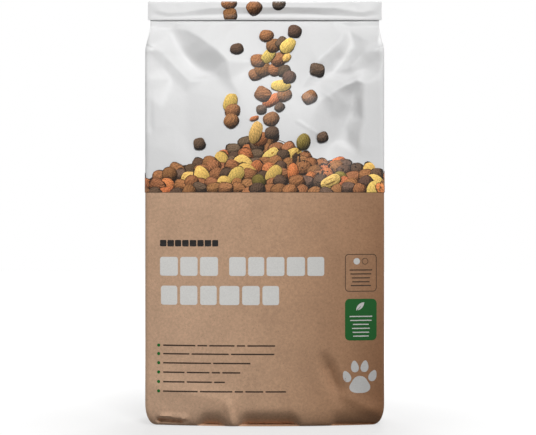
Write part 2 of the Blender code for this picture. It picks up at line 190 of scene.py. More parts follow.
# The creasing of the full bag, as ridges and valleys that the film hangs between. Each line is a row of
# points (x, z, how far the film stands out there from the bag's middle plane). The calm points lie on the
# smooth loft. On the back, x counts from right to left.
FRONT_CREASES = (
    ((-0.151, 0.671, 0.009), (-0.127, 0.665, 0.026), (-0.110, 0.654, 0.037), (-0.094, 0.641, 0.045),
     (-0.077, 0.627, 0.052), (-0.063, 0.611, 0.055)),
    ((-0.162, 0.668, 0.002), (-0.151, 0.646, 0.007), (-0.139, 0.625, 0.009), (-0.121, 0.605, 0.015),
     (-0.098, 0.591, 0.025), (-0.081, 0.585, 0.044)),
    ((-0.186, 0.634, 0.055), (-0.170, 0.625, 0.045), (-0.148, 0.602, 0.041), (-0.124, 0.577, 0.050)),
    ((-0.190, 0.618, 0.053), (-0.174, 0.600, 0.040), (-0.155, 0.580, 0.040), (-0.132, 0.558, 0.050)),
    ((-0.170, 0.530, 0.056), (-0.150, 0.500, 0.060), (-0.125, 0.470, 0.064)),
    ((-0.087, 0.681, 0.006), (-0.061, 0.665, 0.019)),
    ((0.066, 0.675, 0.005), (0.071, 0.639, 0.033), (0.076, 0.613, 0.046), (0.079, 0.591, 0.053)),
    ((0.116, 0.681, 0.003), (0.131, 0.652, 0.028), (0.112, 0.632, 0.043), (0.091, 0.611, 0.051)),
    ((0.141, 0.672, 0.002), (0.149, 0.641, 0.008), (0.132, 0.614, 0.016), (0.113, 0.591, 0.028),
     (0.091, 0.575, 0.046)),
    ((0.182, 0.670, 0.005), (0.176, 0.645, 0.036), (0.163, 0.622, 0.047), (0.146, 0.603, 0.047)),
    ((0.190, 0.611, 0.052), (0.169, 0.595, 0.043), (0.147, 0.585, 0.043), (0.119, 0.576, 0.050)),
    ((0.192, 0.590, 0.058), (0.165, 0.572, 0.061), (0.163, 0.545, 0.062), (0.164, 0.510, 0.063),
     (0.158, 0.480, 0.064), (0.156, 0.452, 0.066)),
    ((0.095, 0.544, 0.062), (0.117, 0.559, 0.062), (0.140, 0.572, 0.061), (0.152, 0.579, 0.060)),
    ((0.112, 0.515, 0.048), (0.138, 0.505, 0.037), (0.150, 0.525, 0.037), (0.152, 0.557, 0.044)),
    ((0.092, 0.485, 0.058), (0.115, 0.474, 0.043), (0.139, 0.470, 0.041)),
)
BACK_CREASES = (
    ((-0.118, 0.668, 0.013), (-0.098, 0.648, 0.033), (-0.078, 0.626, 0.048), (-0.058, 0.596, 0.053)),
    ((-0.160, 0.662, 0.008), (-0.142, 0.636, 0.017), (-0.118, 0.608, 0.021), (-0.086, 0.578, 0.041)),
    ((-0.186, 0.626, 0.055), (-0.160, 0.602, 0.045), (-0.130, 0.566, 0.051)),
    ((0.124, 0.672, 0.010), (0.108, 0.650, 0.032), (0.092, 0.622, 0.047), (0.074, 0.590, 0.052)),
    ((0.158, 0.664, 0.009), (0.150, 0.640, 0.020), (0.126, 0.612, 0.024), (0.100, 0.576, 0.044)),
    ((0.186, 0.620, 0.055), (0.164, 0.592, 0.047), (0.150, 0.552, 0.054)),
)
# Each lesser fold: its line's start and end as (x, z), how far it reaches above and below that line, and
# how far it stands out at its start and its end.
FRONT_FOLDS = (
    ((-0.200, 0.6370), (-0.188, 0.6310), 0.0024, 0.0030, -0.0070, -0.0030),
    ((0.200, 0.6360), (0.188, 0.6300), 0.0024, 0.0030, -0.0070, -0.0030),
    ((-0.193, 0.571), (-0.191, 0.501), 0.0083, 0.0083, -0.0005, -0.0030),
    ((0.081, 0.571), (0.111, 0.546), 0.0042, 0.0042, 0.0010, 0.0010),
    ((0.057, 0.506), (0.089, 0.487), 0.0042, 0.0042, 0.0010, 0.0010),
    ((0.106, 0.094), (0.118, 0.066), 0.0190, 0.0190, -0.0110, -0.0100),
    ((0.130, 0.052), (0.178, 0.030), 0.0170, 0.0170, 0.0035, 0.0040),
    ((0.120, -0.002), (0.185, -0.004), 0.0320, 0.0080, -0.0100, -0.0100),
    ((-0.160, 0.062), (-0.080, 0.048), 0.0250, 0.0250, 0.0030, 0.0030),
    ((-0.094, -0.004), (-0.082, -0.004), 0.0330, 0.0120, -0.0190, -0.0190),
    ((-0.026, -0.004), (0.040, -0.004), 0.0340, 0.0120, -0.0220, -0.0220),
    ((-0.060, 0.034), (-0.054, 0.006), 0.0110, 0.0110, 0.0060, 0.0080),
    ((-0.171, 0.0165), (-0.132, 0.0150), 0.0060, 0.0040, 0.0060, 0.0050),
    ((-0.174, 0.0095), (-0.140, 0.0085), 0.0060, 0.0050, -0.0120, -0.0090),
)
BACK_FOLDS = (
    ((0.184, 0.600), (0.176, 0.450), 0.0120, 0.0120, 0.0028, 0.0012),
    ((-0.170, 0.070), (-0.090, 0.030), 0.0230, 0.0230, -0.0040, -0.0040),
    ((0.140, 0.050), (0.060, 0.024), 0.0230, 0.0230, -0.0035, -0.0035),
)
CALM_POINTS = (
    (0.000, 0.684), (-0.030, 0.684), (-0.110, 0.684), (-0.150, 0.684), (0.040, 0.684), (0.090, 0.684),
    (0.150, 0.684), (0.000, 0.650), (-0.030, 0.660), (0.040, 0.650), (0.000, 0.610), (0.045, 0.610),
    (0.000, 0.560), (0.060, 0.560), (-0.040, 0.545), (-0.058, 0.578), (0.040, 0.500), (0.084, 0.522),
    (0.076, 0.492), (-0.020, 0.500), (0.050, 0.450), (-0.050, 0.430), (-0.150, 0.450), (0.120, 0.372),
    (0.160, 0.380), (0.080, 0.390),
)


def smooth(share):
    share = np.clip(share, 0, 1)
    return share * share * (3 - 2 * share)


def blend_to_one(share, blend):
    """The share up to 1, past which it stays, with a soft bend of this breadth."""
    near = np.clip(0.5 + 0.5 * (1 - share) / blend, 0, 1)
    return share * near + (1 - near) - blend * near * (1 - near)


def sections(z):
    """The tube's cross-sections at heights z: the parts of a quarter of each ring."""
    share = np.clip((NECK_HEIGHT - NECK_STAND - z) / ROOF_DROP, 0, 2) ** ROOF_EASE
    half_width = HALF_FACE - NECK_PULL * (1 - np.minimum(share, 1))
    opened = blend_to_one(share, SHOULDER_BLEND)
    filled = np.clip((NECK_HEIGHT - z) / FILL_DROP, 0, 1)
    full = 1 - (1 - filled) ** FILL_EASE
    at_crease = HALF_FLAT + (HALF_GUSSET - HALF_FLAT) * opened
    in_middle = HALF_FLAT + (HALF_GUSSET + BELLY - HALF_FLAT) * full
    folded_in = np.sqrt(np.maximum(HALF_GUSSET**2 - at_crease**2, 0))
    below_shoulder = np.maximum(SHOULDER_HEIGHT - z, 0)
    valley = GUSSET_VALLEY + SHOULDER_VALLEY * np.exp(-((below_shoulder / VALLEY_FADE) ** 2))
    valley += FOOT_VALLEY * (1 - smooth(z / FOOT_VALLEY_HEIGHT))
    inset = np.maximum(folded_in, valley * opened)
    tuck = 1 - np.sqrt(1 - np.clip(1 - z / FOOT_HEIGHT, 0, 1) ** 2)
    at_crease = at_crease - FOOT_TUCK * tuck
    in_middle = in_middle - FOOT_TUCK * tuck
    half_width = half_width - END_TUCK * tuck
    roundness = EAR_ROUND + (CREASE_ROUND - EAR_ROUND) * smooth(opened)

    flat_end = half_width - roundness
    centre_out = at_crease - roundness
    tip_across = half_width - inset
    to_tip = np.arctan2(HALF_SLIT - centre_out, tip_across - flat_end)
    distance = np.hypot(tip_across - flat_end, HALF_SLIT - centre_out)
    leaves = to_tip + np.arccos(np.minimum(roundness / distance, 1))
    leaves = (leaves + math.pi) % (2 * math.pi) - math.pi
    start = (flat_end + roundness * np.cos(leaves), centre_out + roundness * np.sin(leaves))
    run = (tip_across - start[0], HALF_SLIT - start[1])
    round_length, gusset_length = roundness * (math.pi / 2 - leaves), np.hypot(*run)
    return {
        "at_crease": at_crease,
        "in_middle": in_middle,
        "roundness": roundness,
        "flat_end": flat_end,
        "centre_out": centre_out,
        "round_length": round_length,
        "round_end": flat_end + round_length,
        "start": start,
        "run": run,
        "gusset_length": gusset_length,
        "quarter": flat_end + round_length + gusset_length,
        "swell": GUSSET_SWELL * opened,
    }


def on_quarter(cut, distance):
    """(across, out) at a distance from the panel's middle, round a quarter of the ring."""
    panel_out = cut["at_crease"] + (cut["in_middle"] - cut["at_crease"]) * (
        1 - np.minimum(distance / cut["flat_end"], 1) ** 2
    )
    turned = math.pi / 2 - (distance - cut["flat_end"]) / cut["roundness"]
    round_across = cut["flat_end"] + cut["roundness"] * np.cos(turned)
    round_out = cut["centre_out"] + cut["roundness"] * np.sin(turned)
    share = (distance - cut["flat_end"] - cut["round_length"]) / cut["gusset_length"]
    bowed = cut["swell"] * 4 * share * (1 - share) / cut["gusset_length"]
    gusset_across = cut["start"][0] + cut["run"][0] * share - cut["run"][1] * bowed
    gusset_out = cut["start"][1] + cut["run"][1] * share + cut["run"][0] * bowed
    on_panel = distance <= cut["flat_end"]
    on_round = distance <= cut["round_end"]
    across = np.where(on_panel, distance, np.where(on_round, round_across, gusset_across))
    out = np.where(on_panel, panel_out, np.where(on_round, round_out, gusset_out))
    return across, out


def on_ring(cut, around):
    """x, how far out, if at the back, and the way to that side's middle, round a ring from its front."""
    distance = np.abs(around)
    at_back = distance > cut["quarter"]
    distance = np.where(at_back, 2 * cut["quarter"] - distance, distance)
    across, out = on_quarter(cut, np.clip(distance, 0, cut["quarter"]))
    return np.copysign(across, around), out, at_back, distance


def smooth_out(x, z):
    """How far the panel would stand out without its creases."""
    cut = sections(np.asarray(z, float))
    return on_quarter(cut, np.minimum(np.abs(x), cut["flat_end"]))[1]


CREASE_FLOOR = 0.366  # how far down the creased film reaches
CREASE_CELL = 0.00125  # mesh of the grid that holds it
CREASE_ROUNDS = 4  # how often the grid is softened
VALLEY_ROUNDS = 25  # how many more times its valleys are
CALM_ROUNDS = 300  # the same for the calm film that the printed heap lies on
CALM_HEIGHT = 0.440  # up to where that film reaches
CALM_BLEND = 0.035
EDGE_STEPS = 12  # calm points along each edge
SAME_POINT = 1e-6
SAME_SHARE = 1e-9


class CreasedFilm:
    """Film over a rectangle of (x, z), hung between points (x, z, how far out) and the lines that join them.

    It is straight over each triangle of points, and then softened, its valleys by more rounds than its
    ridges.
    """

    def __init__(self, points, lines, low, high, cell, valley_rounds):
        flat = [mathutils.Vector(point[:2]) for point in points]
        net = mathutils.geometry.delaunay_2d_cdt(flat, lines, [], 0, SAME_POINT)
        spots, _, triangles, origins, _, _ = net
        stands = [points[origin[0]][2] if origin else 0.0 for origin in origins]
        spans = [np.arange(start, end + cell, cell) for start, end in zip(low, high)]
        x, z = np.meshgrid(*spans, indexing="ij")
        self.low, self.cell, self.heights = low, cell, np.zeros(x.shape)
        for triangle in triangles:
            (ax, az), (bx, bz), (cx, cz) = (spots[corner] for corner in triangle)
            area = (bx - ax) * (cz - az) - (cx - ax) * (bz - az)
            to_b = ((x - ax) * (cz - az) - (cx - ax) * (z - az)) / area
            to_c = ((bx - ax) * (z - az) - (x - ax) * (bz - az)) / area
            inside = (to_b >= -SAME_SHARE) & (to_c >= -SAME_SHARE) & (to_b + to_c <= 1 + SAME_SHARE)
            a, b, c = (stands[corner] for corner in triangle)
            self.heights[inside] = (a + (b - a) * to_b + (c - a) * to_c)[inside]
        filled = self.heights.copy()
        self.soften(filled, valley_rounds)
        self.heights = np.maximum(self.heights, filled)
        self.soften(self.heights, CREASE_ROUNDS)

    @staticmethod
    def soften(heights, rounds):
        for _ in range(rounds):
            for grid in (heights, heights.T):
                grid[1:-1] = (grid[:-2] + 2 * grid[1:-1] + grid[2:]) / 4

    def at(self, x, z):
        column = np.clip((x - self.low[0]) / self.cell, 0, self.heights.shape[0] - 1.001)
        row = np.clip((z - self.low[1]) / self.cell, 0, self.heights.shape[1] - 1.001)
        i, j = column.astype(int), row.astype(int)
        u, v = column - i, row - j
        near = self.heights[i, j] * (1 - u) + self.heights[i + 1, j] * u
        far = self.heights[i, j + 1] * (1 - u) + self.heights[i + 1, j + 1] * u
        return near * (1 - v) + far * v


def lines_of(creases):
    """The creases' points in one list, and the pairs of them that a line joins."""
    pairs, count = [], 0
    for crease in creases:
        pairs += [(count + step, count + step + 1) for step in range(len(crease) - 1)]
        count += len(crease)
    return [point for crease in creases for point in crease], pairs


def crease_map(creases):
    """The creases' relief over the smooth panel."""
    points, lines = lines_of(creases)
    points = [(x, z, out - float(smooth_out(x, z))) for x, z, out in points]
    points += [(x, z, 0.0) for x, z in CALM_POINTS]
    edge_heights = np.linspace(CREASE_FLOOR, NECK_HEIGHT, EDGE_STEPS + 1)
    points += [(side * HALF_FACE, z, 0.0) for side in (-1, 1) for z in edge_heights]
    points += [(x, CREASE_FLOOR, 0.0) for x in np.linspace(-HALF_FACE, HALF_FACE, EDGE_STEPS + 1)[1:-1]]
    low, high = (-HALF_FACE, CREASE_FLOOR), (HALF_FACE, NECK_HEIGHT)
    creased = CreasedFilm(points, lines, low, high, CREASE_CELL, VALLEY_ROUNDS)
    calm = creased.heights.copy()
    creased.soften(calm, CALM_ROUNDS)
    z = CREASE_FLOOR + CREASE_CELL * np.arange(calm.shape[1])
    creased.heights = calm + (creased.heights - calm) * smooth((z - CALM_HEIGHT) / CALM_BLEND)
    return creased


front_map = crease_map(FRONT_CREASES)
back_map = crease_map(BACK_CREASES)


def fold_relief(folds, x, z):
    """How far the lesser folds move the panel out."""
    moved = np.zeros(np.broadcast(x, z).shape)
    for (x0, z0), (x1, z1), above, below, first_rise, last_rise in folds:
        length = math.hypot(x1 - x0, z1 - z0)
        dx, dz = (x1 - x0) / length, (z1 - z0) / length
        along = (x - x0) * dx + (z - z0) * dz
        over = ((z - z0) * dx - (x - x0) * dz) * (1 if dx > 0 else -1)
        reach = np.where(over > 0, above, below)
        beyond = np.maximum(np.maximum(-along, along - length), 0) / (2 * min(above, below))
        nearness = np.maximum(1 - np.sqrt((over / reach) ** 2 + beyond**2 + FOLD_TIP**2), 0)
        rise = first_rise + (last_rise - first_rise) * np.clip(along / length, 0, 1)
        moved += rise * (nearness / (1 - FOLD_TIP)) ** FOLD_POWER
    return moved


def bag_surface(around, z):
    """Points of the standing bag at a distance round it from the middle of its front (+X first)."""
    around, z = np.broadcast_arrays(np.asarray(around, float), np.asarray(z, float))
    cut = sections(z)
    x, out, at_back, distance = on_ring(cut, around)
    beside = smooth((cut["round_end"] - distance) / FOLD_MARGIN)
    loose = smooth((NECK_HEIGHT - z) / FOLD_OPENING) * smooth(z / FOLD_FOOT)
    on_back = back_map.at(-x, z) + fold_relief(BACK_FOLDS, -x, z)
    on_front = front_map.at(x, z) + fold_relief(FRONT_FOLDS, x, z)
    relief = np.where(at_back, on_back, on_front)
    folded = np.maximum(out + relief * beside * loose, np.minimum(out, FACE_GAP))
    out = np.where(distance < cut["round_end"], folded, out)
    return np.stack([x, np.where(at_back, out, -out), z], axis=-1)


FRONT_STEP = 0.0028
BACK_STEP = 0.0056
ROUND_STEPS = 5
GUSSET_STEPS = 11
FOOT_RINGS = 12
KRAFT_RINGS = 95
WHITE_RINGS = 104
ROOF_RINGS = 33


def ring_places(z):
    """Distances round the bag of one ring's points, following its creases."""
    cut = sections(np.array(z, float))
    front = np.linspace(0, cut["flat_end"], round(HALF_FACE / FRONT_STEP))
    back = np.linspace(0, cut["flat_end"], round(HALF_FACE / BACK_STEP))
    corner = cut["flat_end"] + cut["round_length"] * np.arange(1, ROUND_STEPS) / ROUND_STEPS
    side = np.linspace(cut["round_end"], cut["quarter"], GUSSET_STEPS + 1)
    front_half = np.concatenate([front, corner, side])
    back_half = np.concatenate([back, corner, side])
    right = np.concatenate([front_half, 2 * cut["quarter"] - back_half[::-1]])
    left = -right[::-1]
    return np.concatenate([right, left[1:-1]])


foot = FOOT_HEIGHT * (1 - np.cos(np.linspace(0, math.pi / 2, FOOT_RINGS + 1)[:-1]))
kraft = np.linspace(FOOT_HEIGHT, PRINT_HEIGHT, KRAFT_RINGS + 1)[:-1]
white = np.linspace(PRINT_HEIGHT, SHOULDER_HEIGHT, WHITE_RINGS + 1)[:-1]
roof = np.linspace(SHOULDER_HEIGHT, NECK_HEIGHT, ROOF_RINGS + 1)
rings = [bag_surface(ring_places(z), z) for z in np.concatenate([foot, kraft, white, roof])]

# The mouth: up behind the band, over the top fold and down to the free edge
MOUTH_TURN = (2 * HALF_FLAT + MOUTH_GAP) / 2
NECK_STEPS = 7
TURN_STEPS = 8
BAND_STEPS = 24
BAND_LIP = 0.0020  # how far the band's free edge stands off
BAND_CELL = 0.0005
BAND_VALLEY_ROUNDS = 4
BAND_EDGE_STEPS = 8
pivot = STANDING_HEIGHT - HALF_FLAT - MOUTH_TURN

# The band's ridges and hollows: (x, how far below the top fold, how far it stands off)
BAND_CREASES = (
    ((-0.172, 0.0262, 0.0008), (-0.130, 0.0185, 0.0030), (-0.092, 0.0120, 0.0070), (-0.052, 0.0110, 0.0074),
     (0.000, 0.0112, 0.0090), (0.048, 0.0106, 0.0078), (0.084, 0.0116, 0.0088), (0.118, 0.0118, 0.0068),
     (0.150, 0.0180, 0.0030), (0.178, 0.0262, 0.0008)),
    ((-0.148, 0.0262, 0.0004), (-0.096, 0.0236, 0.0004), (-0.050, 0.0216, 0.0012), (0.000, 0.0226, 0.0004),
     (0.052, 0.0216, 0.0010), (0.106, 0.0238, 0.0003), (0.156, 0.0262, 0.0004)),
    ((-0.190, 0.0300, 0.0010), (-0.120, 0.0290, 0.0026), (0.000, 0.0288, 0.0032), (0.120, 0.0290, 0.0026),
     (0.190, 0.0300, 0.0010)),
    ((-0.192, 0.0185, 0.0002), (-0.182, 0.0165, 0.0024), (-0.168, 0.0215, 0.0030)),
    ((-0.188, 0.0215, 0.0000), (-0.176, 0.0235, 0.0000)),
    ((0.191, 0.0195, 0.0002), (0.183, 0.0160, 0.0026), (0.170, 0.0200, 0.0030)),
    ((0.189, 0.0225, 0.0000), (0.180, 0.0245, 0.0000)),
)
BAND_CALM_POINTS = (
    (-HALF_FACE, 0.020, 0.0000), (HALF_FACE, 0.020, 0.0000), (-0.150, 0.006, 0.0004), (0.150, 0.006, 0.0004),
)
band_points, band_lines = lines_of(BAND_CREASES)
for x in np.linspace(-HALF_FACE, HALF_FACE, BAND_EDGE_STEPS + 1):
    band_points += [(x, 0.0, 0.0), (x, MOUTH_FOLD, BAND_LIP * (1 - (x / HALF_FACE) ** 4))]
band_points += BAND_CALM_POINTS
band_low, band_high = (-HALF_FACE, 0.0), (HALF_FACE, MOUTH_FOLD)
band_map = CreasedFilm(band_points, band_lines, band_low, band_high, BAND_CELL, BAND_VALLEY_ROUNDS)


def flat_ring(y, z, turned, hang):
    """A ring of the pressed mouth, turned so far over the top fold and hanging so far below it."""
    places = ring_places(NECK_HEIGHT)
    x, out, at_back, _ = on_ring(sections(np.array(NECK_HEIGHT, float)), places)
    x = x * HALF_FACE / (HALF_FACE - NECK_PULL)
    out = np.where(at_back, -out, out)
    swollen = band_map.at(x, hang) if hang > 0 else 0.0
    return np.stack(
        [x, y - out * math.cos(turned) - swollen, z - out * math.sin(turned) + 0 * x], axis=-1
    )


for step in range(1, NECK_STEPS + 1):
    z = NECK_HEIGHT + (pivot - NECK_HEIGHT) * step / NECK_STEPS
    rings.append(flat_ring(0.0, z, 0.0, 0.0))
for step in range(1, TURN_STEPS):
    turned = math.pi * step / TURN_STEPS
    y, z = MOUTH_TURN * (math.cos(turned) - 1), pivot + MOUTH_TURN * math.sin(turned)
    rings.append(flat_ring(y, z, turned, 0.0))
for step in range(BAND_STEPS + 1):
    z = pivot + (NECK_HEIGHT - pivot) * step / BAND_STEPS
    rings.append(flat_ring(-2 * MOUTH_TURN, z, math.pi, STANDING_HEIGHT - z))

mesh = bpy.data.meshes.new("bag")
bag = bpy.data.objects.new("bag", mesh)
bpy.context.scene.collection.objects.link(bag)
ring_size = len(rings[0])
faces = []
for row in range(len(rings) - 1):
    first, second = row * ring_size, (row + 1) * ring_size
    for here in range(ring_size):
        after = (here + 1) % ring_size
        faces.append((first + here, first + after, second + after, second + here))
base_face, mouth_face = range(ring_size), range((len(rings) - 1) * ring_size, len(rings) * ring_size)
faces += [tuple(base_face)[::-1], tuple(mouth_face)]
mesh.from_pydata(np.concatenate(rings).tolist(), [], faces)
KRAFT_SLOT, FILM_SLOT = 0, 1
SHARP_ANGLE = 60
slots = np.full(len(faces), FILM_SLOT)
slots[: (len(foot) + len(kraft)) * ring_size] = KRAFT_SLOT
slots[-2] = KRAFT_SLOT
mesh.polygons.foreach_set("material_index", slots)
mesh.shade_smooth()
mesh.set_sharp_from_angle(angle=math.radians(SHARP_ANGLE))


def add_node(tree, kind, inputs=(), **settings):
    """A shader node with its settings, and its inputs as values or as other nodes' outputs."""
    node = tree.nodes.new(kind)
    for key, value in settings.items():
        setattr(node, key, value)
    for key, value in dict(inputs).items():
        if isinstance(value, bpy.types.NodeSocket):
            tree.links.new(value, node.inputs[key])
        else:
            node.inputs[key].default_value = value
    return node


def add_maths(tree, operation, *values):
    return add_node(tree, "ShaderNodeMath", enumerate(values), operation=operation).outputs[0]


def add_noise(tree, vector, scale, detail=2.0, roughness=0.5):
    inputs = {"Vector": vector, "Scale": scale, "Detail": detail, "Roughness": roughness}
    return add_node(tree, "ShaderNodeTexNoise", inputs).outputs["Fac"]


def add_range(tree, value, low, high, to_low, to_high):
    inputs = {"Value": value, "From Min": low, "From Max": high, "To Min": to_low, "To Max": to_high}
    return add_node(tree, "ShaderNodeMapRange", inputs).outputs["Result"]


def add_product(tree, first, second):
    """Two colours multiplied."""
    inputs = {0: 1.0, 6: first, 7: second}
    return add_node(tree, "ShaderNodeMix", inputs, data_type="RGBA", blend_type="MULTIPLY").outputs[2]


def add_tint(tree, colour, factor):
    """The colour times a plain factor."""
    grey = add_node(tree, "ShaderNodeCombineColor", {"Red": factor, "Green": factor, "Blue": factor})
    return add_product(tree, colour, grey.outputs[0])


def new_material(name):
    material = bpy.data.materials.new(name)
    material.use_nodes = True
    return material, material.node_tree, material.node_tree.nodes["Principled BSDF"]


def film_finish(tree, shader, place):
    """The satin film's fine crumple and its sheen."""
    crumple = add_noise(tree, place, 38.0, 3.0, 0.55)
    fine = add_noise(tree, place, 420.0, 2.0)
    height = add_maths(tree, "ADD", add_maths(tree, "MULTIPLY", fine, 0.06), crumple)
    bump = add_node(tree, "ShaderNodeBump", {"Height": height, "Strength": 0.35, "Distance": 0.0016})
    tree.links.new(bump.outputs["Normal"], shader.inputs["Normal"])
    tree.links.new(add_range(tree, crumple, 0.3, 0.7, 0.36, 0.48), shader.inputs["Roughness"])
    shader.inputs["Specular IOR Level"].default_value = 0.2


def paper_finish(tree, shader, place):
    """The uncoated print's fibres and its dull surface."""
    fibres = add_noise(tree, place, 900.0, 3.0, 0.6)
    crumple = add_noise(tree, place, 26.0, 2.0)
    height = add_maths(tree, "ADD", add_maths(tree, "MULTIPLY", fibres, 0.12), crumple)
    bump = add_node(tree, "ShaderNodeBump", {"Height": height, "Strength": 0.35, "Distance": 0.0012})
    tree.links.new(bump.outputs["Normal"], shader.inputs["Normal"])
    shader.inputs["Roughness"].default_value = 0.7
    shader.inputs["Specular IOR Level"].default_value = 0.25


def painted_shade(tree, place):
    """The kraft's painted shade: darker to the right, most of all low down, times a painted light that makes
    it lighter towards the foot.
    """
    parts = add_node(tree, "ShaderNodeSeparateXYZ", {"Vector": place})
    # Painted shade: darker to the right, the more so lower down
    across = add_range(tree, parts.outputs["X"], -0.16, 0.2, 0.0, 1.0)
    across = add_maths(tree, "POWER", across, 1.7)
    depth = add_range(tree, parts.outputs["Z"], 0.05, 0.39, 0.78, 0.56)
    side = add_maths(tree, "SUBTRACT", 1.0, add_maths(tree, "MULTIPLY", across, depth))
    # Painted light: lighter towards the floor
    foot = add_range(tree, parts.outputs["Z"], 0.0, 0.25, 1.12, 1.0)
    return add_maths(tree, "MULTIPLY", side, foot)


def under_painted_shade(tree, colour, shade):
    """The colour under the painted shade, which takes most from its blue and least from its red."""
    shares = (("Red", 0.80), ("Green", 1.02), ("Blue", 1.26))
    channels = {channel: add_maths(tree, "POWER", shade, power) for channel, power in shares}
    brown = add_node(tree, "ShaderNodeCombineColor", channels)
    return add_product(tree, colour, brown.outputs[0])


KRAFT_COLOUR = (0.645, 0.415, 0.272, 1)
FILM_COLOUR = (0.80, 0.80, 0.80, 1)
kraft_print, tree, shader = new_material("kraft_print")
place = add_node(tree, "ShaderNodeTexCoord").outputs["Object"]
paper_finish(tree, shader, place)
clouds = add_range(tree, add_noise(tree, place, 14.0, 5.0, 0.65), 0.3, 0.7, 0.91, 1.08)
fibres = add_range(tree, add_noise(tree, place, 240.0, 4.0, 0.7), 0.25, 0.75, 0.82, 1.16)
specks = add_range(tree, add_noise(tree, place, 620.0, 1.0), 0.66, 0.74, 1.0, 0.72)
tone = add_maths(tree, "MULTIPLY", add_maths(tree, "MULTIPLY", clouds, fibres), specks)
# The kraft colour under its painted shade, darker to the right and low down, and a painted light at the foot
shaded = under_painted_shade(tree, KRAFT_COLOUR, painted_shade(tree, place))
tree.links.new(add_tint(tree, shaded, tone), shader.inputs["Base Color"])

white_film, tree, shader = new_material("white_film")
place = add_node(tree, "ShaderNodeTexCoord").outputs["Object"]
film_finish(tree, shader, place)
tone = add_range(tree, add_noise(tree, place, 9.0, 3.0), 0.3, 0.7, 0.97, 1.02)
# Painted shade: the film is painted lighter on the left and darker to the right
parts = add_node(tree, "ShaderNodeSeparateXYZ", {"Vector": place})
tone = add_maths(tree, "MULTIPLY", tone, add_range(tree, parts.outputs["X"], -0.2, 0.2, 1.10, 0.95))
tree.links.new(add_tint(tree, FILM_COLOUR, tone), shader.inputs["Base Color"])
mesh.materials.append(kraft_print)
mesh.materials.append(white_film)
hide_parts("feed_bag")
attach(bag, "root")

# Printed label
# Ink on the kraft print's front: two headline rows and a line above them as plain blocks, six lines with
# green points, an outlined box, a green box with a leaf, and a paw. All of it is flat and has no letters.
LABEL_LIFT = 0.00012
LABEL_STEP = 0.006  # how finely the print is cut to follow the bag
LAY_STEP = 0.0005  # how far apart the spots are that the bag's slope is taken from
WHITE_INK = (0.84, 0.83, 0.80)
BLACK_INK = (0.014, 0.012, 0.011)
BROWN_INK = (0.045, 0.028, 0.019)
GREEN_INK = (0.012, 0.130, 0.022)
PAW_INK = (0.80, 0.79, 0.77)


def lay_on(place, flat, name, material):
    """A flat print, with x round the bag, y its height and z its lift, laid on the bag's surface."""
    flat_points = np.array([vertex.co for vertex in flat.verts])
    around, height, lift = flat_points.T.astype(float)
    here = place(around, height)
    along = place(around + LAY_STEP, height) - place(around - LAY_STEP, height)
    upwards = place(around, height + LAY_STEP) - place(around, height - LAY_STEP)
    outward = np.cross(along, upwards)
    outward /= np.linalg.norm(outward, axis=1)[:, None]
    laid = here + outward * lift[:, None]
    for vertex, point in zip(flat.verts, laid):
        vertex.co = point
    mesh = bpy.data.meshes.new(name)
    flat.to_mesh(mesh)
    flat.free()
    mesh.shade_smooth()
    mesh.materials.append(material)
    piece = bpy.data.objects.new(name, mesh)
    bpy.context.scene.collection.objects.link(piece)
    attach(piece, "root")
    return piece


def cut_at(flat, axis, places, drop_below=False, drop_above=False):
    """Cuts the flat print at each of these places along x (0) or y (1), to follow the surface."""
    normal = [int(axis == number) for number in range(3)]
    for at in places:
        bmesh.ops.bisect_plane(
            flat,
            geom=flat.verts[:] + flat.edges[:] + flat.faces[:],
            plane_co=[at * share for share in normal],
            plane_no=normal,
            clear_inner=drop_below,
            clear_outer=drop_above,
        )


def steps_between(low, high, step):
    return np.arange(math.ceil(low / step), math.floor(high / step) + 1) * step


label = bmesh.new()
label_ink_layer = label.verts.layers.float_color.new("ink")


def add_corners(outline, ink, layer):
    corners = [label.verts.new((x, z, LABEL_LIFT * (1 + layer))) for x, z in outline]
    for corner in corners:
        corner[label_ink_layer] = (*ink, 1)
    return corners


def add_shape(outline, ink, layer=0):
    """A filled outline of (x, z) points, anticlockwise."""
    label.faces.new(add_corners(outline, ink, layer))


def add_ring(outer, inner, ink, layer=0):
    """The strip between two outlines of as many points."""
    outside, inside = add_corners(outer, ink, layer), add_corners(inner, ink, layer)
    for here in range(len(outer)):
        after = (here + 1) % len(outer)
        label.faces.new((outside[here], outside[after], inside[after], inside[here]))


def arc(centre_x, centre_z, radius, start, end, steps):
    turns = np.radians(np.linspace(start, end, steps))
    return [(centre_x + radius * math.cos(turn), centre_z + radius * math.sin(turn)) for turn in turns]


def rounded(x0, z0, x1, z1, radius):
    corners = ((x1 - radius, z1 - radius, 0), (x0 + radius, z1 - radius, 90))
    corners += ((x0 + radius, z0 + radius, 180), (x1 - radius, z0 + radius, 270))
    return [point for x, z, turn in corners for point in arc(x, z, radius, turn, turn + 90, 5)]


def add_blocks(left, foot, top, widths, gap, ink, radius):
    """A row of blocks of these widths; a negative width is a space."""
    x = left
    for width in widths:
        if width > 0:
            add_shape(rounded(x, foot, x + width, top, radius), ink)
            x += width + gap
        else:
            x -= width


CAPTION = (0.0108, 0.0110, 0.0104, 0.0108, 0.0112, 0.0104, 0.0108, 0.0100)
HEADLINE = (0.0300, 0.0290, 0.0300, -0.0145, 0.0275, 0.0265, 0.0295, 0.0300, 0.0280)
SECOND_HEADLINE = (0.0275, 0.0290, 0.0275, 0.0330, 0.0290, 0.0275)
add_blocks(-0.1743, 0.3000, 0.3107, CAPTION, 0.0017, BLACK_INK, 0.0016)
add_blocks(-0.1743, 0.2512, 0.2826, HEADLINE, 0.0040, WHITE_INK, 0.0040)
add_blocks(-0.1727, 0.2030, 0.2347, SECOND_HEADLINE, 0.0046, WHITE_INK, 0.0040)

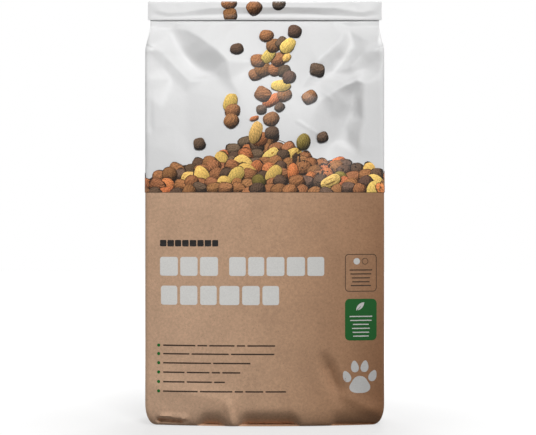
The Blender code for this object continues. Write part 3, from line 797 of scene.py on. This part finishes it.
LINE_HEIGHT = 0.0024
LINES = (
    (0.1355, (0.054, 0.016, 0.042, 0.014, 0.046)),
    (0.1215, (0.044, 0.062, 0.072)),
    (0.1063, (0.080, 0.062)),
    (0.0908, (0.036, 0.038, 0.014, 0.030)),
    (0.0750, (0.036, 0.042, 0.018)),
    (0.0595, (0.058, 0.054, 0.014, 0.030, 0.034)),
)
for z, words in LINES:
    add_shape(arc(-0.1765, z, 0.0027, 0, 337.5, 16), GREEN_INK)
    add_blocks(-0.1690, z - LINE_HEIGHT / 2, z + LINE_HEIGHT / 2, words, 0.0036, BROWN_INK, 0.0008)

BOX_LEFT, BOX_MIDDLE, BOX_RIGHT = 0.1334, 0.1600, 0.1865
BOX_LINE = 0.0011  # width of the outlined box's line
DOT_HEIGHT, DOT_RADIUS, DOT_LINE = 0.2752, 0.0054, 0.0009
BAR_HALF, BAR_ROUND = 0.0009, 0.0004


def add_bars(rows, ink, layer=0):
    """Plain bars in a box, each given as its height and its width."""
    for z, width in rows:
        left, right = BOX_MIDDLE - width / 2, BOX_MIDDLE + width / 2
        add_shape(rounded(left, z - BAR_HALF, right, z + BAR_HALF, BAR_ROUND), ink, layer)


add_ring(
    rounded(BOX_LEFT, 0.2249, BOX_RIGHT, 0.2872, 0.006),
    rounded(
        BOX_LEFT + BOX_LINE, 0.2249 + BOX_LINE, BOX_RIGHT - BOX_LINE, 0.2872 - BOX_LINE, 0.006 - BOX_LINE
    ),
    BROWN_INK,
)
add_shape(arc(0.1530, DOT_HEIGHT, DOT_RADIUS, 0, 345, 24), WHITE_INK)
add_ring(
    arc(0.1669, DOT_HEIGHT, DOT_RADIUS, 0, 345, 24),
    arc(0.1669, DOT_HEIGHT, DOT_RADIUS - DOT_LINE, 0, 345, 24),
    BROWN_INK,
)
add_bars(((0.2607, 0.038), (0.2542, 0.035), (0.2476, 0.031), (0.2411, 0.029), (0.2349, 0.034)), BROWN_INK)
add_shape(rounded(BOX_LEFT, 0.1436, BOX_RIGHT, 0.2128, 0.0075), GREEN_INK)
GREEN_BOX_BARS = (
    (0.1835, 0.038), (0.1769, 0.036), (0.1703, 0.027), (0.1637, 0.030), (0.1571, 0.028), (0.1508, 0.026),
)
add_bars(GREEN_BOX_BARS, WHITE_INK, 1)
leaf = arc(0.1655, 0.1935, 0.0135, 90, 180, 10) + arc(0.1520, 0.2070, 0.0135, 270, 360, 10)[1:-1]
leaf_rib = [(0.1503, 0.1913), (0.1511, 0.1905), (0.1600, 0.2000), (0.1596, 0.2004)]
add_shape(leaf, WHITE_INK, 1)
add_shape(leaf_rib, GREEN_INK, 2)


def toe(centre_x, centre_z, half_width, half_height, lean, steps=22):
    """A toe of the paw: an oval that narrows towards its tip."""
    cos_lean, sin_lean = math.cos(math.radians(lean)), math.sin(math.radians(lean))
    outline = []
    for turn in np.linspace(0, 2 * math.pi, steps, endpoint=False):
        x, z = half_width * math.cos(turn) * (1 - 0.25 * math.sin(turn)), half_height * math.sin(turn)
        outline.append((centre_x + x * cos_lean - z * sin_lean, centre_z + x * sin_lean + z * cos_lean))
    return outline


for x, z, lean in ((0.1362, 0.0840, 24), (0.1497, 0.1004, 8), (0.1664, 0.1006, -8), (0.1800, 0.0848, -24)):
    add_shape(toe(x, z, 0.0064, 0.0098, lean), PAW_INK)
pad = []
for turn in np.linspace(0, 2 * math.pi, 48, endpoint=False):
    reach = 1 + 0.10 * math.cos(3 * (turn - math.pi / 2)) - 0.05 * math.cos(2 * turn)
    pad.append((0.1582 + 0.0178 * reach * math.cos(turn), 0.0690 + 0.0135 * reach * math.sin(turn)))
add_shape(pad, PAW_INK)

bmesh.ops.triangulate(label, faces=label.faces[:])
cut_at(label, 0, steps_between(-0.18, 0.19, LABEL_STEP))
cut_at(label, 1, steps_between(0.05, 0.32, LABEL_STEP))
label_ink, tree, shader = new_material("label_ink")
place = add_node(tree, "ShaderNodeTexCoord").outputs["Object"]
paper_finish(tree, shader, place)
ink = add_node(tree, "ShaderNodeAttribute", attribute_name="ink").outputs["Color"]
worn = add_range(tree, add_noise(tree, place, 420.0, 3.0, 0.7), 0.3, 0.7, 0.93, 1.05)
# The ink takes a weaker share of the kraft's painted shade and painted light, beside its wear
tone = add_maths(tree, "MULTIPLY", worn, add_maths(tree, "POWER", painted_shade(tree, place), 0.45))
tree.links.new(add_tint(tree, ink, tone), shader.inputs["Base Color"])
lay_on(bag_surface, label, "label_print", label_ink)

# Printed kibble
# Ink on the film: a heap of dry food that runs round the bag above the kraft print, and pieces that fall
# on it from the top. Each piece is a flat shape of its own, shaded in the print and not by its form.
FILM_LIFT = 0.00012  # lift of the lowest print over the film
PIECE_LIFT = 0.000010  # of each patch of a piece over the one below
NEXT_LIFT = 0.000032  # of a piece over its neighbour
ROW_LIFT = 0.000100  # of a row over the one behind
PIECE_SEGMENTS = 18
PIECE_RINGS = (0.0, 0.62, 1.0)
HEAP_TOP = 0.096  # height of the highest row above the kraft print
HEAP_FOOT = -0.004  # and of the lowest
HEAP_ROW = 0.0118
HEAP_PITCH = 0.0200
HEAP_LOOSE = (0.003, 0.005)  # how far a piece may be off its place, along and up
HEAP_BELOW = 0.62  # how far below the outline its middle stays, as a share of its half length
# Each kind: its ink, half its length, its breadth as a share of that, how square it is, how lumpy, how far
# its edge faces away, and how coarse its grain is
KINDS = {
    "ball": ((0.330, 0.145, 0.060), (0.0115, 0.0138), (0.88, 1.00), 2.3, 0.040, 0.97, 1.0),
    "barrel": ((0.290, 0.125, 0.054), (0.0112, 0.0134), (0.86, 0.98), 3.2, 0.030, 0.94, 1.0),
    "dark_ball": ((0.120, 0.070, 0.044), (0.0112, 0.0136), (0.86, 1.00), 2.4, 0.050, 0.97, 1.0),
    "dark_barrel": ((0.130, 0.080, 0.052), (0.0108, 0.0128), (0.86, 0.98), 3.2, 0.040, 0.94, 1.0),
    "flake": ((0.800, 0.530, 0.150), (0.0160, 0.0195), (0.52, 0.72), 2.2, 0.050, 0.50, 0.45),
    "stick": ((0.620, 0.205, 0.075), (0.0145, 0.0180), (0.46, 0.60), 2.6, 0.040, 0.90, 0.8),
    "chunk": ((0.560, 0.190, 0.075), (0.0112, 0.0132), (0.80, 0.95), 2.2, 0.080, 0.85, 0.9),
    "olive": ((0.230, 0.180, 0.045), (0.0120, 0.0140), (0.72, 0.86), 2.1, 0.025, 0.92, 0.7),
}
HEAP_MIX = ("ball",) * 8 + ("barrel",) * 7 + ("dark_ball",) * 5 + ("dark_barrel",) * 3
HEAP_MIX += ("flake",) * 7 + ("stick",) * 2 + ("chunk",) * 2 + ("olive",)
draw = random.Random(11)
SHADOW_INK = (0.030, 0.018, 0.012)
SHADOW_SPREAD = 1.07
SHADOW_DROP = 0.0005
RIM_TINT = (0.72, 0.62, 0.50, 1)
RIM_SHIFT = (0.0006, -0.0016)
RIM_FACING = (0, -0.5)
RIM_TILT = 0.8
END_SHIFT, END_LONG, END_SHORT = 0.46, 0.84, 0.44  # a barrel's end: how far off, how long and how broad
END_FACING = 0.5
END_TILT = 0.25
END_PALE = 1.30


def new_sheet():
    sheet = bmesh.new()
    sheet.verts.layers.float_vector.new("facing")
    sheet.verts.layers.float_vector.new("grain")
    sheet.verts.layers.float_color.new("ink")
    return sheet


def add_patch(sheet, spots, lift, ink):
    """A filled round of spots, each (x, z, facing, grain): the middle one, then rings outwards."""
    facing_layer, grain_layer = (sheet.verts.layers.float_vector[name] for name in ("facing", "grain"))
    ink_layer = sheet.verts.layers.float_color["ink"]
    corners = []
    for x, z, facing, grain in spots:
        corner = sheet.verts.new((x, z, lift))
        corner[facing_layer], corner[grain_layer], corner[ink_layer] = facing, grain, ink
        corners.append(corner)
    rings = (len(corners) - 1) // PIECE_SEGMENTS
    for here in range(PIECE_SEGMENTS):
        after = (here + 1) % PIECE_SEGMENTS
        sheet.faces.new((corners[0], corners[1 + here], corners[1 + after]))
        for ring in range(1, rings):
            inner, outer = 1 + (ring - 1) * PIECE_SEGMENTS, 1 + ring * PIECE_SEGMENTS
            sheet.faces.new(
                (corners[inner + here], corners[outer + here], corners[outer + after], corners[inner + after])
            )


def add_round(sheet, x, z, lean, half_long, half_short, power, lumps, tilt, base, ink, lift, grain_at):
    """One rounded, lumpy patch. tilt is how far its edge faces away, base which way all of it faces."""
    phases = [draw.uniform(0, 2 * math.pi) for _ in range(4)]
    cos_lean, sin_lean = math.cos(lean), math.sin(lean)
    spots = []
    for ring in PIECE_RINGS:
        for segment in range(PIECE_SEGMENTS if ring else 1):
            turn = 2 * math.pi * segment / PIECE_SEGMENTS
            c, s = math.cos(turn), math.sin(turn)
            reach = (abs(c) ** power + abs(s) ** power) ** (-1 / power)
            reach *= 1 + lumps * sum(math.sin(k * turn + phase) / k**0.5 for k, phase in enumerate(phases, 2))
            a, b = c * reach * ring, s * reach * ring
            long, short = a * half_long, b * half_short
            px = x + long * cos_lean - short * sin_lean
            pz = z + long * sin_lean + short * cos_lean
            nx = (a * cos_lean - b * sin_lean) * tilt + base[0]
            nz = (a * sin_lean + b * cos_lean) * tilt + base[1]
            out = math.sqrt(max(1.02 - (a * a + b * b) * tilt * tilt, 0.03))
            spots.append((px, pz, (nx, nz, out), (long + grain_at[0], short + grain_at[1], grain_at[2])))
    add_patch(sheet, spots, lift, ink)


def add_kibble(sheet, x, z, kind, size, lean, lift, shadow=False):
    """One printed piece. A barrel shows an end, a flake a rim below it, one in the heap has a shadow."""
    colour, _, aspects, power, lumps, tilt, coarse = KINDS[kind]
    shade = draw.uniform(0.82, 1.15)
    ink = [min(channel * shade * draw.uniform(0.95, 1.05), 1) for channel in colour] + [coarse]
    short = size * draw.uniform(*aspects)
    grain_at = [draw.uniform(0, 3) for _ in range(3)]
    if shadow:
        dark, long_reach, short_reach = (*SHADOW_INK, coarse), size * SHADOW_SPREAD, short * SHADOW_SPREAD
        at = (x, z - SHADOW_DROP, lean, long_reach, short_reach)
        add_round(sheet, *at, power, lumps, 0, (0, 0), dark, lift, grain_at)
        lift += PIECE_LIFT
    if kind == "flake":
        rim = [channel * factor for channel, factor in zip(ink, RIM_TINT)]
        at = (x + RIM_SHIFT[0], z + RIM_SHIFT[1], lean, size, short)
        add_round(sheet, *at, power, lumps, RIM_TILT, RIM_FACING, rim, lift, grain_at)
        lift += PIECE_LIFT
    add_round(sheet, x, z, lean, size, short, power, lumps, tilt, (0, 0), ink, lift, grain_at)
    if kind.endswith("barrel"):
        end_x, end_z = math.cos(lean + math.pi / 2), math.sin(lean + math.pi / 2)
        if end_z < 0:
            end_x, end_z = -end_x, -end_z
        pale = [min(channel * END_PALE, 1) for channel in ink]
        grain_at = [draw.uniform(0, 3) for _ in range(3)]
        shift = short * END_SHIFT
        at = (x + end_x * shift, z + end_z * shift, lean, size * END_LONG, short * END_SHORT)
        end_facing = (end_x * END_FACING, end_z * END_FACING)
        add_round(sheet, *at, 2.0, lumps, END_TILT, end_facing, pale, lift + PIECE_LIFT, grain_at)


# The heap's outline: (distance round the bag, height above the kraft print)
HEAP_STANDS = (
    (-0.460, 0.062), (-0.360, 0.046), (-0.260, 0.036), (-0.197, 0.030), (-0.172, 0.044), (-0.140, 0.054),
    (-0.095, 0.060), (-0.070, 0.070), (-0.045, 0.084), (-0.018, 0.096), (0.015, 0.100), (0.040, 0.090),
    (0.066, 0.072), (0.100, 0.062), (0.128, 0.066), (0.150, 0.058), (0.180, 0.050), (0.197, 0.038),
    (0.260, 0.036), (0.360, 0.048), (0.460, 0.062),
)
HEAP_PLACES, HEAP_HEIGHTS = zip(*HEAP_STANDS)
GROUND_INK = (0.060, 0.036, 0.022, 1)
GROUND_DROP = 0.010  # how far the dark ground ends below the heap's outline
GROUND_STEPS = 160
print_cut = sections(np.array(PRINT_HEIGHT))
panel_end, round_length, round_end, quarter_round = (
    float(print_cut[name]) for name in ("flat_end", "round_length", "round_end", "quarter")
)
HALF_ROUND = 2 * quarter_round


def heap_height(around):
    """How high the printed heap reaches above the kraft print."""
    return float(np.interp(around, HEAP_PLACES, HEAP_HEIGHTS))


def add_ground(sheet):
    """The dark ground that shows between the heap's pieces, all round the bag."""
    facing_layer, grain_layer = (sheet.verts.layers.float_vector[name] for name in ("facing", "grain"))
    ink_layer = sheet.verts.layers.float_color["ink"]
    columns = []
    for step in range(GROUND_STEPS + 1):
        x = -HALF_ROUND + 2 * HALF_ROUND * step / GROUND_STEPS
        column = []
        for share in (0.0, 0.5, 1.0):
            z = PRINT_HEIGHT + share * (heap_height(x) - GROUND_DROP)
            corner = sheet.verts.new((x, z, FILM_LIFT * 0.5))
            corner[facing_layer], corner[grain_layer] = (0, 0, 0.6), (x, corner.co.y, 0)
            corner[ink_layer] = GROUND_INK
            column.append(corner)
        columns.append(column)
    for first, second in zip(columns, columns[1:]):
        for low in (0, 1):
            sheet.faces.new((first[low], second[low], second[low + 1], first[low + 1]))


heap = new_sheet()
add_ground(heap)
row_height = HEAP_TOP
row_lift = FILM_LIFT
while row_height > HEAP_FOOT:
    x = -HALF_ROUND + draw.uniform(0, HEAP_PITCH)
    count = 0
    while x < HALF_ROUND - 0.004:
        kind = draw.choice(HEAP_MIX)
        size = draw.uniform(*KINDS[kind][1])
        here = x + draw.uniform(-HEAP_LOOSE[0], HEAP_LOOSE[0])
        stands = row_height + draw.uniform(-HEAP_LOOSE[1], HEAP_LOOSE[1])
        if stands < heap_height(here) - size * HEAP_BELOW:
            lean = draw.uniform(-0.6, 0.6) if kind.endswith("barrel") else draw.uniform(0, math.pi)
            lift = row_lift + NEXT_LIFT * (count % 3)
            add_kibble(heap, here, PRINT_HEIGHT + stands, kind, size, lean, lift, shadow=True)
            count += 1
        x += HEAP_PITCH * draw.uniform(0.82, 1.08)
    row_height -= HEAP_ROW
    row_lift += ROW_LIFT
cut_at(heap, 1, [PRINT_HEIGHT], drop_below=True)
# Its two ends meet at the back's middle, past which there is no bag to lie on
cut_at(heap, 0, [-HALF_ROUND], drop_below=True)
cut_at(heap, 0, [HALF_ROUND], drop_above=True)
# The heap is cut along the bag's long creases and its gussets' middles, to bend with them
bends = []
for start in (panel_end, HALF_ROUND - round_end):
    bends += [start + round_length * step / ROUND_STEPS for step in range(ROUND_STEPS + 1)]
bends.append(quarter_round)
cut_at(heap, 0, [side * bend for bend in bends for side in (-1, 1)])

kibble_ink, tree, shader = new_material("kibble_ink")
facing = add_node(tree, "ShaderNodeAttribute", attribute_name="facing").outputs["Vector"]
grain = add_node(tree, "ShaderNodeAttribute", attribute_name="grain").outputs["Vector"]
ink = add_node(tree, "ShaderNodeAttribute", attribute_name="ink")
facing = add_node(tree, "ShaderNodeVectorMath", {0: facing}, operation="NORMALIZE").outputs[0]
DRAWN_LIGHT = (-0.34, 0.70, 0.62)  # where the drawn light on the pieces comes from
GRAIN_SHIFT = (-0.0004, 0.0006, 0)  # a step towards it, to shade the grain
GRAIN = (330.0, 4.0, 0.65)
lit = add_node(tree, "ShaderNodeVectorMath", {0: facing, 1: DRAWN_LIGHT}, operation="DOT_PRODUCT")
crumbs = add_noise(tree, grain, *GRAIN)
shifted = add_node(tree, "ShaderNodeVectorMath", {0: grain, 1: GRAIN_SHIFT}, operation="ADD").outputs[0]
relief = add_maths(tree, "SUBTRACT", crumbs, add_noise(tree, shifted, *GRAIN))
relief = add_maths(tree, "MULTIPLY", add_maths(tree, "MULTIPLY", relief, 3.4), ink.outputs["Alpha"])
shade = add_maths(tree, "ADD", lit.outputs["Value"], relief)
shade = add_range(tree, shade, -0.10, 1.0, 0.14, 1.42)
shade = add_maths(tree, "POWER", shade, 1.45)
pores = add_range(tree, crumbs, 0.25, 0.75, 0.70, 1.25)
tone = add_maths(tree, "MULTIPLY", shade, pores)
tree.links.new(add_tint(tree, ink.outputs["Color"], tone), shader.inputs["Base Color"])
film_finish(tree, shader, add_node(tree, "ShaderNodeTexCoord").outputs["Object"])
lay_on(bag_surface, heap, "heap_print", kibble_ink)

# The falling pieces: x, z, kind, half length, lean
FALLING = (
    (-0.008, 0.478, "chunk", 0.0140, 0.3), (0.012, 0.488, "dark_ball", 0.0125, 0.0),
    (0.011, 0.511, "ball", 0.0135, 0.4), (-0.015, 0.489, "flake", 0.0185, 1.25),
    (0.025, 0.531, "dark_barrel", 0.0085, 0.9), (-0.005, 0.527, "dark_barrel", 0.0090, 0.2),
    (0.013, 0.543, "stick", 0.0175, 0.55), (-0.003, 0.553, "barrel", 0.0138, -0.5),
    (0.033, 0.552, "ball", 0.0128, 0.2), (0.027, 0.568, "flake", 0.0165, 0.05),
    (-0.015, 0.587, "ball", 0.0120, 0.1), (-0.003, 0.596, "ball", 0.0145, 0.3),
    (0.017, 0.595, "ball", 0.0118, -0.2), (0.033, 0.593, "dark_ball", 0.0115, 0.2),
    (0.041, 0.582, "dark_ball", 0.0118, 0.5), (-0.011, 0.611, "ball", 0.0130, 0.1),
    (0.023, 0.613, "barrel", 0.0130, 0.5), (0.006, 0.620, "flake", 0.0140, 0.9),
    (0.037, 0.617, "flake", 0.0085, 0.9), (0.015, 0.638, "ball", 0.0130, 0.4),
    (0.029, 0.643, "dark_barrel", 0.0115, 0.8), (0.039, 0.638, "flake", 0.0160, 0.85),
    (0.003, 0.656, "ball", 0.0122, 0.0), (0.051, 0.664, "dark_ball", 0.0125, 0.0),
    (-0.047, 0.631, "dark_ball", 0.0115, 0.0), (0.088, 0.595, "dark_barrel", 0.0122, -0.1),
    (0.075, 0.548, "barrel", 0.0125, 0.6), (-0.057, 0.539, "flake", 0.0165, 1.2),
    (-0.053, 0.525, "ball", 0.0130, 0.2), (-0.055, 0.508, "ball", 0.0128, 0.7),
    (-0.017, 0.512, "stick", 0.0080, 0.3), (0.064, 0.473, "olive", 0.0140, 1.3),
    (0.096, 0.482, "dark_barrel", 0.0100, 0.4), (-0.108, 0.470, "dark_ball", 0.0105, 0.2),
)
falling = new_sheet()
fall_lift = row_lift
for x, z, kind, size, lean in FALLING:
    add_kibble(falling, x, z, kind, size, lean, fall_lift)
    fall_lift += 2 * PIECE_LIFT
cut_at(falling, 0, steps_between(-0.13, 0.13, 0.0028))
cut_at(falling, 1, steps_between(0.45, 0.69, 0.0024))
cut_at(falling, 1, [NECK_HEIGHT - 0.0005], drop_above=True)
lay_on(bag_surface, falling, "falling_print", kibble_ink)


def band_place(x, z):
    """Points of the glued band, and of the fold above it."""
    x, z = np.broadcast_arrays(np.asarray(x, float), np.asarray(z, float))
    above = np.clip((z - pivot) / (HALF_FLAT + MOUTH_TURN), 0, 1)
    y = -2 * MOUTH_TURN - HALF_FLAT + (HALF_FLAT + MOUTH_TURN) * (1 - np.sqrt(1 - above * above))
    swollen = np.where(z < pivot, band_map.at(x, STANDING_HEIGHT - z), 0)
    return np.stack([x, y - swollen, z], axis=-1)


# The pieces on the band and over the top fold, in the same way
BAND_LIFT = 0.0003
OVER_BAND = (
    (-0.061, 0.7150, "ball", 0.0135, 0.2), (-0.018, 0.7065, "barrel", 0.0130, 0.7),
    (0.024, 0.7140, "dark_ball", 0.0120, 0.3), (-0.059, 0.6945, "barrel", 0.0120, 0.1),
)
over_band = new_sheet()
for x, z, kind, size, lean in OVER_BAND:
    add_kibble(over_band, x, z, kind, size, lean, BAND_LIFT)
cut_at(over_band, 0, steps_between(-0.08, 0.05, 0.0028))
cut_at(over_band, 1, steps_between(0.68, 0.716, 0.0014))
cut_at(over_band, 1, [NECK_HEIGHT + 0.0004], drop_below=True)
cut_at(over_band, 1, [STANDING_HEIGHT - 0.0002], drop_above=True)
lay_on(band_place, over_band, "band_print", kibble_ink)
